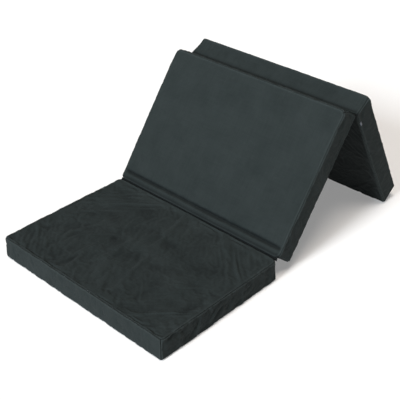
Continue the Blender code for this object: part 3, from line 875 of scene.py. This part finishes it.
for block, ends in PANEL_NAMES.items():
    names = dict(
        top=f"{block}_top_panel", bottom=f"{block}_bottom_panel", right=f"{block}_right_border", **ends)
    for face, name in names.items():
        sew_panel(name, block, face)
    lower = int(np.argmin(np.abs(CUTS[2] - ZIP_EDGES[0])))
    upper = int(np.argmin(np.abs(CUTS[2] - ZIP_EDGES[1])))
    sew_panel(f"{block}_lower_zip_border", block, "left", columns=slice(0, lower + 1))
    sew_panel(f"{block}_upper_zip_border", block, "left", columns=slice(upper, None))
    print(block, "panels:", ", ".join(sorted(names.values())), "and two zip borders")

# %% [markdown]
# ## Foam inside
#
# The blocks are slabs of flexible polyurethane foam, cut with a saw and slightly rounded by the pull of the
# cover. Foam is pale when new and yellows in time. Its surface is a mass of tiny open cells, so it is
# perfectly matt. The foam gives way under the cloth's folds, so its shape here is the cover's own, pushed
# inwards: at each place it takes the deepest point of the cloth nearby.

# %% Foam cores
FOAM_CLEARANCE = 2.4 * MM
FOAM_LEFT = HALF_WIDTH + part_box("seat_foam_core")[0].x
FOAM_RADIUS = 12 * MM
foam_finish, tree, shader, spot, _ = mottled_finish(
    "open_cell_polyurethane_foam", 5.0, "#efe6c4", "#e0cf9c",
    IOR=1.5, Specular_IOR_Level=0.2, Subsurface_Weight=0.15, Roughness=1.0)
shader.inputs["Subsurface Radius"].default_value = (3 * MM, 2 * MM, 1 * MM)
cells = add_node(tree, "ShaderNodeTexVoronoi", {"Vector": spot, "Scale": 600.0})
pits = add_node(tree, "ShaderNodeBump", {"Height": cells.outputs["Distance"], "Distance": 0.6 * MM})
tree.links.new(pits.outputs["Normal"], shader.inputs["Normal"])


def lowest_nearby(values, reach):
    """At each grid place, the lowest value within reach lines of it."""
    padded = np.pad(values, reach, mode="edge")
    rows, columns = values.shape
    offsets = range(2 * reach + 1)
    return np.min([padded[i:i + rows, j:j + columns] for i in offsets for j in offsets], axis=0)


def make_foam(block):
    """The foam core of a block, on every third line of the fine grid."""
    cuts = [np.unique(np.append(cut[::3], cut[-1])) for cut in CUTS]
    flat, grids = lattice(cuts)
    low, high = BLOCK_LOW + FOAM_CLEARANCE, BLOCK_HIGH - FOAM_CLEARANCE
    inset = low + (flat - BLOCK_LOW) * (high - low) / (BLOCK_HIGH - BLOCK_LOW)
    points = settled(rounded(inset, low, high, FOAM_RADIUS)[0], block)
    cover = shapes[block][0]
    start = settled(rounded(FLAT, BLOCK_LOW, BLOCK_HIGH, EDGE_RADIUS)[0], block)
    for face, (first, second, third, end, _) in FACES.items():
        side = -1.0 if end == 0 else 1.0
        height = side * (cover - start)[GRIDS[face]][..., third]
        low_cloth = np.minimum(lowest_nearby(height, 3), 0)
        rows, columns = (np.searchsorted(CUTS[axis], cuts[axis]) for axis in (first, second))
        dent = low_cloth[np.ix_(rows, columns)]
        inner = slice(1, -1)
        points[grids[face][inner, inner], third] += side * dent[inner, inner]
    points[:, 0] = np.maximum(points[:, 0], FOAM_LEFT - HALF_WIDTH)
    foam = new_mesh_object(f"{block}_foam_block", in_place(block, points), all_quads(grids))
    foam.data.shade_smooth()
    foam.data.materials.append(foam_finish)
    stand_for(foam, block, f"{block}_foam_core")
    return foam


for block in PLACES:
    print("foam core of the", block, "has", len(make_foam(block).data.vertices), "points")

# %% [markdown]
# ## Cloth hinges
#
# A strip of the same canvas is sewn into the two seams that face each other across a fold. It lies deep in
# the crease, where it shows as a dark line. The blocks turn about the hinge line; the strip is built once,
# in the shape it has in this pose, running from one seam to the other and sagging into the crease.

# %% Hinge strips
STRIP_PARTS_ACROSS = 160
STRIP_SAG, STRIP_RIPPLE = 7 * MM, 0.35 * MM
strip_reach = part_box("seat_backrest_hinge_strip")[1].x


def seam_point(block, face, row):
    """Where the seam between an end border and the panel on the hinge's side lies, half way across."""
    grid = GRIDS[face]
    return Vector(in_place(block, shapes[block][0][grid[grid.shape[0] // 2, row]][None])[0])


def make_hinge_strip(name, first, second, row, hinge):
    """A strip from the seam of the first block's far end to the seam of the second block's near end."""
    start, end = seam_point(first, "far", row), seam_point(second, "near", row)
    start.x = end.x = 0
    middle = (start + end) / 2
    inward = (middle - hinge).normalized() if (middle - hinge).length > MM else Vector((0, 0, -1))
    across = np.linspace(-strip_reach, strip_reach, STRIP_PARTS_ACROSS + 1)
    places = np.linspace(0, 1, 9)
    points = []
    for t in places:
        centre = start.lerp(end, t) + inward * STRIP_SAG * math.sin(math.pi * t)
        points.append([(x, centre.y, centre.z) for x in across])
    points = np.array(points).reshape(-1, 3)
    ripple = STRIP_RIPPLE * waves(points, 31 + row, 20 * MM, 60 * MM)[:, None]
    points += np.array(inward) * ripple
    grid = np.arange(len(points)).reshape(len(places), -1)
    ribs = points.reshape(len(places), -1, 3)[:, STRIP_PARTS_ACROSS // 2]
    width = np.linalg.norm(np.diff(ribs, axis=0), axis=1).sum()
    cloth_places = np.stack(
        [*np.meshgrid(places * width, across, indexing="ij"), np.ones(grid.shape)], axis=-1)
    # The strip's colour takes the full painted shade, for the shadow deep in the crease.
    strip = cloth_object(
        name + "_canvas", None, points, grid, True, cloth_places, np.full(len(points), -1.0), canvas,
        CANVAS_THICKNESS)
    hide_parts(name)
    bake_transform(strip)
    print(name, "is", round(width / MM, 1), "mm wide between its seams")


make_hinge_strip("seat_backrest_hinge_strip", "seat", "backrest", -1, hinges[0])
make_hinge_strip("backrest_support_hinge_strip", "backrest", "support", 0, hinges[1])

# %% [markdown]
# ## Sewing thread
#
# The seams are closed with black spun-polyester thread. Each stitch is a short, slightly plump bead lying
# in the groove of its seam. Real stitches are about 3 mm long. They are cheap to make by the hundred: one
# small bead is modelled once, then turned and moved along the seam with plain matrix sums.

# %% Stitches along every seam
STITCH_PITCH = 4 * MM
STITCH_LENGTH = 3.2 * MM
STITCH_RADIUS = 0.38 * MM
thread_finish = mottled_finish(
    "spun_polyester_thread", 900.0, "#1b1e1f", "#2c3031", IOR=1.5, Sheen_Weight=0.3, Roughness=0.7)[0]

bead = bmesh.new()
bmesh.ops.create_uvsphere(bead, u_segments=6, v_segments=5, radius=1.0)
BEAD_POINTS = np.array([vertex.co for vertex in bead.verts])
BEAD_FACES = [[vertex.index for vertex in face.verts] for face in bead.faces]
bead.free()


def even_stops(path, pitch):
    """Even stops along a path of points, and the way along the path at each."""
    legs = np.linalg.norm(np.diff(path, axis=0), axis=1)
    far = np.concatenate([[0], np.cumsum(legs)])
    count = max(int(far[-1] / pitch), 1)
    stops = (np.arange(count) + 0.5) * far[-1] / count
    places = np.stack([np.interp(stops, far, path[:, axis]) for axis in range(3)], axis=1)
    ahead = np.stack([np.interp(stops + pitch / 4, far, path[:, axis]) for axis in range(3)], axis=1)
    behind = np.stack([np.interp(stops - pitch / 4, far, path[:, axis]) for axis in range(3)], axis=1)
    way = ahead - behind
    return places, way / np.linalg.norm(way, axis=1)[:, None]


def seam_lines():
    """Each seam of a block as a row of point numbers."""
    for face in ("top", "bottom"):
        grid = GRIDS[face]
        yield from (grid[0], grid[-1], grid[:, 0], grid[:, -1])
    for face in ("near", "far"):
        yield from (GRIDS[face][0], GRIDS[face][-1])


def make_stitches(block):
    """All the stitches of a block, as beads in one mesh."""
    points = shapes[block][0]
    centre = (BLOCK_LOW + BLOCK_HIGH) / 2
    all_points, all_faces, count = [], [], 0
    for line in seam_lines():
        places, way = even_stops(points[line], STITCH_PITCH)
        outward = places - centre
        side = np.cross(way, outward)
        side /= np.linalg.norm(side, axis=1)[:, None]
        up = np.cross(side, way)
        axes = np.stack([way * STITCH_LENGTH / 2, side * STITCH_RADIUS, up * STITCH_RADIUS], axis=1)
        beads = places[:, None] + BEAD_POINTS @ axes
        all_points.append(beads.reshape(-1, 3))
        for number in range(len(places)):
            first = (count + number) * len(BEAD_POINTS)
            all_faces += [[first + corner for corner in face] for face in BEAD_FACES]
        count += len(places)
    points = in_place(block, np.concatenate(all_points))
    threads = new_mesh_object(f"{block}_stitches", points, all_faces)
    threads.data.shade_smooth()
    threads.data.materials.append(thread_finish)
    stand_for(threads, block, f"{block}_seam_threads")
    print(block, "has", count, "stitches")


for block in PLACES:
    make_stitches(block)

# %% [markdown]
# ## Zips
#
# A long zip on the left border lets the cover come off for washing. It is a coil zip: a nylon filament
# wound into a spring is sewn to the edge of a woven tape on each side, and a metal slider meshes the two
# springs. The tape is a flat herringbone weave with a slight gloss. The spring is a polyline that a loop
# winds round an oval, with a bevel for the filament. The real coil has a turn every 1.5 mm; here it is
# every 2.2 mm, so that the turns can be told apart.

# %% Zip tapes, coils and metal parts
TAPE_WIDTH = THICKNESS / 2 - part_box("seat_lower_zip_tape")[0].z
TAPE_FACE = -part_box("seat_lower_zip_tape")[0].x
TAPE_THICKNESS = 0.5 * MM
COIL_TURN = 2.2 * MM
FILAMENT_RADIUS = 0.32 * MM
COIL_POINTS_PER_TURN = 8
COIL_MIDDLE, COIL_HALF_WIDTH, COIL_HALF_DEPTH = 1.75 * MM, 0.85 * MM, 0.8 * MM
COIL_GAP = 0.5 * MM  # between a coil and the stop at its end
TAPE_LINES = np.array((0.9, 1.5, 2.4, 3.6, 5.0, 7.0, 9.5, 12.0, TAPE_WIDTH / MM)) * MM  # from the middle
TAPE_ROLL_HEIGHT, TAPE_ROLL_AWAY, TAPE_ROLL_WIDTH = 0.12 * MM, 1.2 * MM, 0.8 * MM

tape_finish = woven_cloth(
    "woven_polyester_zip_tape", "#26292a", "#1d2021", "#303435", 0.14 * MM, 0.2 * MM,
    IOR=1.5, Sheen_Weight=0.2, Specular_IOR_Level=0.4)
coil_finish = mottled_finish(
    "drawn_nylon_filament", 250.0, "#17191a", "#232627", IOR=1.53, Roughness=0.35)[0]
metal_finish, tree, shader, _, rubbed = mottled_finish(
    "die_cast_zinc_gunmetal_plated", 320.0, "#55585b", "#7b7f83", detail=4.0, Metallic=1.0)
polish = add_node(tree, "ShaderNodeMapRange", {"Value": rubbed.outputs["Fac"], "To Min": 0.25, "To Max": 0.5})
tree.links.new(polish.outputs["Result"], shader.inputs["Roughness"])


def make_tape(block, side, direction):
    """The tape on one side of the zip, with a rolled edge under its coil."""
    name = f"{block}_{side}_zip_tape"
    along = np.linspace(BESIDE_SEAM[0], LENGTH - BESIDE_SEAM[0], 120)
    heights = THICKNESS / 2 + direction * TAPE_LINES
    u, v = np.meshgrid(along, heights, indexing="ij")
    grid = np.arange(u.size).reshape(u.shape)
    roll = TAPE_ROLL_HEIGHT * bell((TAPE_LINES - TAPE_ROLL_AWAY) / TAPE_ROLL_WIDTH)
    points = np.stack([np.full(u.shape, -TAPE_FACE) - roll[None, :], u, v], axis=-1).reshape(-1, 3)
    places = np.stack([u, v, np.full(u.shape, 5.0)], axis=-1)
    tape = cloth_object(
        name + "_weave", block, settled(points, block), grid, direction > 0, places, np.zeros(len(points)),
        tape_finish, TAPE_THICKNESS)
    stand_for(tape, block, name)


def make_coil(block, side, direction):
    """One half of the zip's coil: a filament wound round an oval, between the two stops."""
    name = f"{block}_{side}_zip_coil"
    stops = [frame["nodes"][f"{block}_zip_{kind}_stop"] for kind in ("bottom", "top")]
    to_block = PLACES[block].inverted()
    reach = sorted((to_block @ vertex.co).y for stop in stops for vertex in stop.data.vertices)
    half = len(reach) // 2
    start, end = reach[half - 1] + COIL_GAP, reach[half] - COIL_GAP
    turns = int((end - start) / COIL_TURN)
    angles = np.linspace(0, 2 * math.pi * turns, turns * COIL_POINTS_PER_TURN + 1)
    u = start + (end - start) * angles / angles[-1]
    v = THICKNESS / 2 + direction * (COIL_MIDDLE - COIL_HALF_WIDTH * np.cos(angles))
    x = -HALF_WIDTH + ZIP_RECESS + COIL_HALF_DEPTH * np.sin(angles)
    points = in_place(block, np.stack([x, u, v], axis=1))
    curve = bpy.data.curves.new(name, "CURVE")
    curve.dimensions = "3D"
    spline = curve.splines.new("POLY")
    spline.points.add(len(points) - 1)
    spline.points.foreach_set("co", np.column_stack([points, np.ones(len(points))]).ravel())
    curve.bevel_depth = FILAMENT_RADIUS
    curve.bevel_resolution = 0
    curve.use_fill_caps = True
    curve.materials.append(coil_finish)
    coil = bpy.data.objects.new(name + "_filament", curve)
    scene.collection.objects.link(coil)
    stand_for(coil, block, name)
    return turns


def repaint(name, finish):
    """Gives a CAD node that stays visible its finish."""
    node = frame["nodes"][name]
    node.data.materials.clear()
    node.data.materials.append(finish)


for block in PLACES:
    for side, direction in (("lower", -1), ("upper", 1)):
        make_tape(block, side, direction)
        turns = make_coil(block, side, direction)
    for part in ("zip_top_stop", "zip_bottom_stop", "zip_slider", "zip_pull"):
        repaint(f"{block}_{part}", metal_finish)
    print(block, "zip: two coils of", turns, "turns")

# %% [markdown]
# ## Care label
#
# A small blank label of satin-woven polyester is sewn to the support's right border, near the hinge. Satin
# floats its threads, so it is smoother and paler than the canvas. It lies on the cloth and follows
# its bumps, so each of its points is read off the border below it and lifted by half a millimetre.

# %% Care label
label_finish = woven_cloth(
    "satin_woven_polyester", "#4d5560", "#434b55", "#5a626b", 0.05 * MM, 0.1 * MM,
    IOR=1.5, Sheen_Weight=0.3, Specular_IOR_Level=0.5)
LABEL_THICKNESS, LABEL_LIFT, LABEL_BULGE = 0.3 * MM, 0.5 * MM, 0.3 * MM


def straight_weights(old, new):
    """Weights that read values known at the places old at the places new, along straight lines."""
    return np.stack([np.interp(new, old, one) for one in np.eye(len(old))], axis=1)


def make_label():
    """The label, laid on the right border where the CAD has it."""
    name = "care_label"
    to_block = PLACES["support"].inverted()
    corners = np.array([to_block @ vertex.co for vertex in frame["nodes"][name].data.vertices])
    low, high = corners.min(0), corners.max(0)
    u, v = np.linspace(low[1], high[1], 13), np.linspace(low[2], high[2], 9)
    border = shapes["support"][0][GRIDS["right"]]
    points = np.einsum("ij,jkc,lk->ilc", straight_weights(CUTS[1], u), border, straight_weights(CUTS[2], v))
    points[..., 0] += LABEL_LIFT + LABEL_BULGE * np.sin(np.linspace(0, math.pi, len(u)))[:, None]
    grid = np.arange(u.size * v.size).reshape(u.size, v.size)
    places = np.stack([*np.meshgrid(u, v, indexing="ij"), np.full(grid.shape, 7.0)], axis=-1)
    label = cloth_object(
        name + "_satin", "support", points.reshape(-1, 3), grid, False, places, np.zeros(grid.size),
        label_finish, LABEL_THICKNESS)
    stand_for(label, "support", name)
    print("label:", np.round((high - low) / MM, 1), "mm")


make_label()
